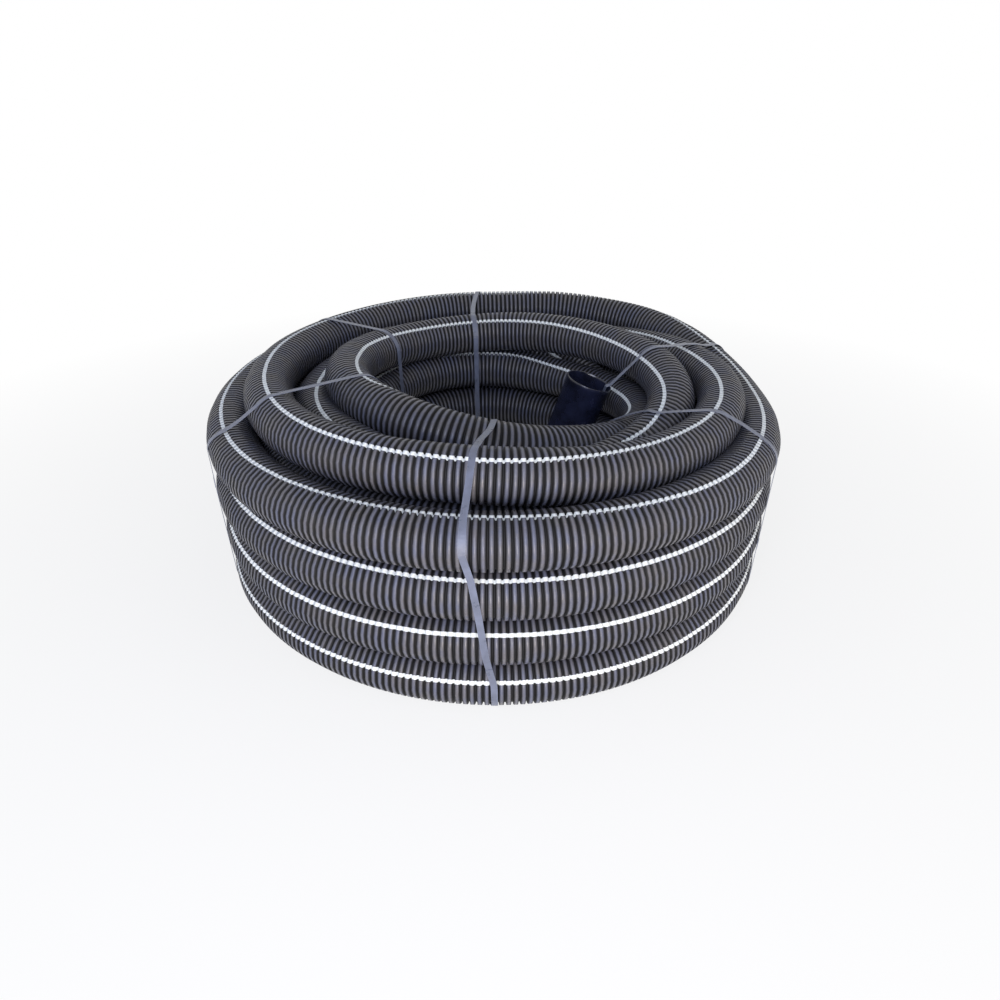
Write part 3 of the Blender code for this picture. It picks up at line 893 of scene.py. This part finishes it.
gloss = add(tree, "ShaderNodeMapRange", Value=on_crest, To_Min=0.70, To_Max=0.30)
dulled = add(
    tree, "ShaderNodeMapRange", Value=patches, From_Min=0.35, From_Max=0.7, To_Min=-0.03, To_Max=0.06
)
roughness = add(tree, "ShaderNodeMath", {"operation": "ADD"}, i0=gloss, i1=dulled)
fine = add(tree, "ShaderNodeTexNoise", Vector=spot, Scale=1 / GRAIN_SIZE, Detail=2.0)
bump = add(tree, "ShaderNodeBump", Strength=0.10, Distance=0.0004, Height=fine)
shader = add(
    tree, "ShaderNodeBsdfPrincipled", Base_Color=colour, Roughness=roughness, Normal=bump,
    IOR=1.54, Specular_IOR_Level=0.26,
)  # fmt: skip
add(tree, "ShaderNodeOutputMaterial", Surface=shader)
for piece in duct_pieces + duct_ends:
    piece.data.materials.clear()
    piece.data.materials.append(duct_black)
print("duct material:", len(tree.nodes), "nodes")

# %% [markdown]
# ### Embossed polypropylene strapping
# Packing strap is stretched polypropylene. A roller presses a fine diamond pattern into it so that it
# doesn't split along its length, and that pattern breaks its gloss. The real diamonds are about
# 1.5 mm, which just shows when looking closely. Two sets of slanted ridges, multiplied, make them.

# %% Strap material
DIAMOND = 0.0015
STREAK_SCALE = 35.0  # streaks of about 29 mm

strap_grey, tree = new_material("dark_grey_polypropylene_strapping_embossed")
spot = add(tree, "ShaderNodeTexCoord").outputs["Object"]
unroll = add(tree, "ShaderNodeSeparateXYZ", Vector=add(tree, "ShaderNodeUVMap", {"uv_map": "along_strap"}))
u, v = unroll.outputs[0], unroll.outputs[1]
across = add(tree, "ShaderNodeMath", {"operation": "MULTIPLY"}, i0=u, i1=STRAP_WIDTH)
ridges = []
for sign in (1.0, -1.0):
    slanted = add(tree, "ShaderNodeMath", {"operation": "MULTIPLY_ADD"}, i0=across, i1=sign, i2=v)
    phase = add(tree, "ShaderNodeMath", {"operation": "MULTIPLY"}, i0=slanted, i1=math.tau / DIAMOND)
    ridges.append(add(tree, "ShaderNodeMath", {"operation": "SINE"}, i0=phase))
emboss = add(tree, "ShaderNodeMath", {"operation": "MULTIPLY"}, i0=ridges[0], i1=ridges[1])
from_middle = add(tree, "ShaderNodeMath", {"operation": "SUBTRACT"}, i0=u, i1=0.5)
from_middle = add(tree, "ShaderNodeMath", {"operation": "ABSOLUTE"}, i0=from_middle)
at_edge = add(tree, "ShaderNodeMapRange", Value=from_middle, From_Min=0.44, From_Max=0.5)
streaks = add(tree, "ShaderNodeTexNoise", Vector=spot, Scale=STREAK_SCALE, Detail=3.0)
streaked = add(tree, "ShaderNodeMapRange", Value=streaks, From_Min=0.35, From_Max=0.65)
tone = add(tree, "ShaderNodeMix", COLOURS, i0=streaked, i6=linear("#5a5f6e"), i7=linear("#676d7f")).outputs[2]
colour = add(tree, "ShaderNodeMix", COLOURS, i0=at_edge, i6=tone, i7=linear("#747a8c")).outputs[2]
roughness = add(
    tree, "ShaderNodeMapRange", Value=streaks, From_Min=0.3, From_Max=0.7, To_Min=0.26, To_Max=0.36
)
bump = add(tree, "ShaderNodeBump", Strength=0.25, Distance=0.0002, Height=emboss)
shader = add(
    tree, "ShaderNodeBsdfPrincipled", Base_Color=colour, Roughness=roughness, Normal=bump,
    IOR=1.49, Specular_IOR_Level=0.5,
)  # fmt: skip
add(tree, "ShaderNodeOutputMaterial", Surface=shader)
for piece in straps:
    piece.data.materials.append(strap_grey)
print("strap material:", len(tree.nodes), "nodes")

# %% [markdown]
# ### Moulded polyethylene coupler
# The coupler is the same plastic, but injection-moulded in a polished tool, so it is smoother than
# the duct and its black is bluer. Faint flow marks ripple it, and handling leaves a few dull
# patches.

# %% Coupler material
HANDLING_SCALE = 22.0  # patches of about 45 mm
FLOW_SCALE = 180.0  # ripples of about 5.5 mm

coupler_black, tree = new_material("blue_black_polyethylene_injection_moulded")
spot = add(tree, "ShaderNodeTexCoord").outputs["Object"]
patches = add(tree, "ShaderNodeTexNoise", Vector=spot, Scale=HANDLING_SCALE, Detail=4.0, Roughness=0.6)
flow = add(tree, "ShaderNodeTexNoise", Vector=spot, Scale=FLOW_SCALE, Detail=2.0)
handled = add(tree, "ShaderNodeMapRange", Value=patches, From_Min=0.35, From_Max=0.7)
colour = add(
    tree, "ShaderNodeMix", COLOURS, i0=handled, i6=linear("#12141f"), i7=linear("#23273d")
).outputs[2]
roughness = add(
    tree, "ShaderNodeMapRange", Value=patches, From_Min=0.3, From_Max=0.7, To_Min=0.16, To_Max=0.28
)
bump = add(tree, "ShaderNodeBump", Strength=0.06, Distance=0.0004, Height=flow)
shader = add(
    tree, "ShaderNodeBsdfPrincipled", Base_Color=colour, Roughness=roughness, Normal=bump, IOR=1.53
)
add(tree, "ShaderNodeOutputMaterial", Surface=shader)
coupler.data.materials.append(coupler_black)
print("coupler material:", len(tree.nodes), "nodes")

# %% [markdown]
# ## Floor, light and camera
# The coil stands on a pale floor that takes its shadow. For the camera the floor is part lit by the
# lamps and part plain white, so the shadow stays soft and the background stays white. The world is
# white to the camera and to reflections, and a softer light to everything else.

# %% Floor
FLOOR_HALF = 9.0

bm = bmesh.new()
bmesh.ops.create_grid(bm, x_segments=1, y_segments=1, size=FLOOR_HALF)
mesh = bpy.data.meshes.new("studio_floor")
bm.to_mesh(mesh)
bm.free()
floor = bpy.data.objects.new("studio_floor", mesh)
bpy.context.scene.collection.objects.link(floor)


def seen_directly(tree):
    """A node that gives 1 to camera, glossy and transmission rays, and 0 to all others."""
    seen = add(tree, "ShaderNodeLightPath").outputs
    direct = add(
        tree, "ShaderNodeMath", {"operation": "MAXIMUM"}, i0=seen["Is Camera Ray"], i1=seen["Is Glossy Ray"]
    )
    return add(
        tree, "ShaderNodeMath", {"operation": "MAXIMUM"}, i0=direct, i1=seen["Is Transmission Ray"]
    )


floor_white, tree = new_material("studio_floor_white_paper")
spot = add(tree, "ShaderNodeTexCoord").outputs["Object"]
far = add(tree, "ShaderNodeVectorMath", {"operation": "LENGTH"}, i0=spot).outputs["Value"]
fade = add(tree, "ShaderNodeMapRange", Value=far, From_Min=0.7, From_Max=2.5, To_Min=0.78, To_Max=1.0)
plain_share = add(tree, "ShaderNodeMath", {"operation": "MULTIPLY"}, i0=seen_directly(tree), i1=fade)
paper = add(tree, "ShaderNodeBsdfDiffuse", Color=linear("#e9e9e7"))
plain_white = add(tree, "ShaderNodeEmission", Color=(1, 1, 1, 1), Strength=1.0)
both = add(tree, "ShaderNodeMixShader", i0=plain_share, i1=paper, i2=plain_white)
add(tree, "ShaderNodeOutputMaterial", Surface=both)
floor.data.materials.append(floor_white)
print("floor", 2 * FLOOR_HALF, "m wide")

# %% [markdown]
# The lamps are square softboxes. The key stands in front, a little to the left. A low one near it
# lights the outside of the turns from the front, so that the ribs stand out from the grooves between
# them. A weak one above and one at the right keep the top and the shaded side from going black.

# %% World and lamps
WORLD_STRENGTH = 0.34

world = bpy.data.worlds.new("studio")
bpy.context.scene.world = world
world.use_nodes = True
tree = world.node_tree
tree.nodes.clear()
soft_light = add(tree, "ShaderNodeBackground", Color=linear("#e2e9fb"), Strength=WORLD_STRENGTH)
white_light = add(tree, "ShaderNodeBackground", Color=(1, 1, 1, 1), Strength=1.0)
both = add(tree, "ShaderNodeMixShader", i0=seen_directly(tree), i1=soft_light, i2=white_light)
add(tree, "ShaderNodeOutputWorld", Surface=both)


def softbox(name, place, aim, width, watts, hex_colour):
    lamp = bpy.data.lights.new(name, "AREA")
    lamp.shape = "SQUARE"
    lamp.size = width
    lamp.energy = watts
    lamp.color = linear(hex_colour)[:3]
    holder = bpy.data.objects.new(name, lamp)
    holder.location = place
    holder.rotation_euler = (Vector(aim) - Vector(place)).to_track_quat("-Z", "Y").to_euler()
    bpy.context.scene.collection.objects.link(holder)


softbox("key_softbox", (-0.5, -2.8, 1.75), (0, 0, 0.25), 1.8, 64, "#dfe6ff")
softbox("top_softbox", (0.6, 0.8, 3.2), (0, 0, 0.2), 2.0, 7, "#fffaf2")
softbox("low_softbox", (0.2, -2.7, 0.42), (0, 0, 0.15), 0.8, 40, "#fff4e8")
softbox("fill_softbox", (2.8, -1.6, 1.2), (0, 0, 0.2), 1.4, 16, "#fff7ee")

# %% [markdown]
# The camera was worked out from the photograph: the widths and heights of the rings at the front and
# at the back give its height, distance, angle and lens in duct diameters.

# %% Camera
LENS = 23.87  # mm, on a sensor of 36 mm
CAMERA_PLACE = Vector((0.0, -1.6005, 1.0505))
CAMERA_AIM = Vector((0.0178, 0.0, 0.0847))

camera_data = bpy.data.cameras.new("camera")
camera_data.lens = LENS
camera_data.sensor_width = 36.0
camera_data.clip_start = 0.05
camera_data.clip_end = 60.0
camera = bpy.data.objects.new("camera", camera_data)
camera.location = CAMERA_PLACE
camera.rotation_euler = (CAMERA_AIM - CAMERA_PLACE).to_track_quat("-Z", "Y").to_euler()
bpy.context.scene.collection.objects.link(camera)
bpy.context.scene.camera = camera
bpy.context.scene.view_settings.view_transform = "Standard"
print("camera", [round(v, 3) for v in camera.location])

# %% [markdown]
# ## Finish
# Meshes that nothing uses any more are removed.

# %% Finish
for leftover in [m for m in bpy.data.meshes if m.users == 0]:
    bpy.data.meshes.remove(leftover)
bpy.context.view_layer.update()
